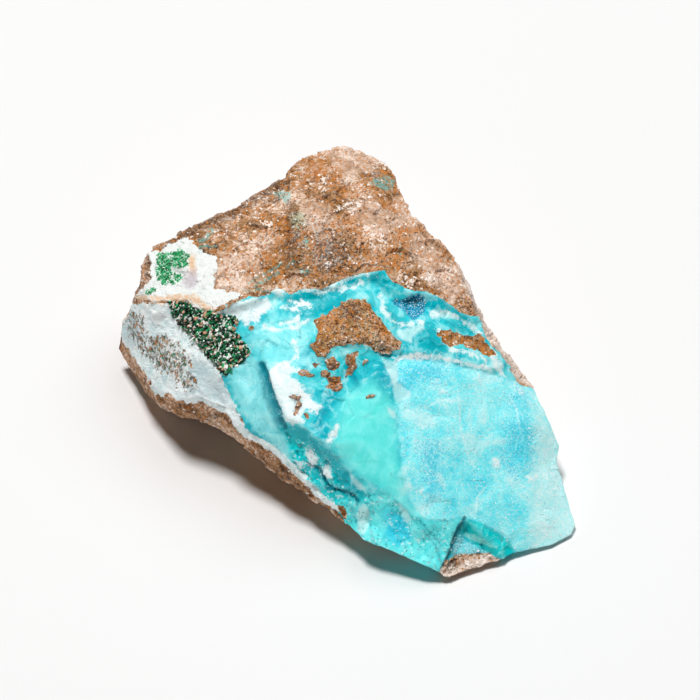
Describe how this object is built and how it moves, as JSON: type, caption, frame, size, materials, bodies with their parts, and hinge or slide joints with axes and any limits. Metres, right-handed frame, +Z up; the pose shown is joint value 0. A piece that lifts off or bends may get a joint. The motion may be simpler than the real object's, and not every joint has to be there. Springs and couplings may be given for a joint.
{
  "type": "chrysocolla mineral specimen",
  "caption": "Rough hand specimen of brown quartz rock, broken open along a turquoise chrysocolla seam with a patch of dark green malachite crystals and a pale blue crust.",
  "frame": {"origin": "centre of the specimen's bounding box in plan, on the flat fracture that it rests on", "axes": "+Z up from the resting face; -Y towards the low edge, where the broken turquoise side slopes down; +X to the right of someone looking at that side from the low edge"},
  "size_m": [0.0762, 0.0774, 0.0302],
  "materials": {
    "quartz_rock": "rough, granular brown quartz rock with rust stains and glassy grains",
    "chrysocolla": "smooth, waxy to glassy turquoise on fresh breaks, sugary where fine quartz has grown over it",
    "malachite": "dark green crust of small glassy crystals",
    "quartz": "small clear to milky quartz crystals, glassy"
  },
  "bodies": {
    "root": {"chrysocolla_specimen": "quartz_rock"}
  },
  "joints": []
}
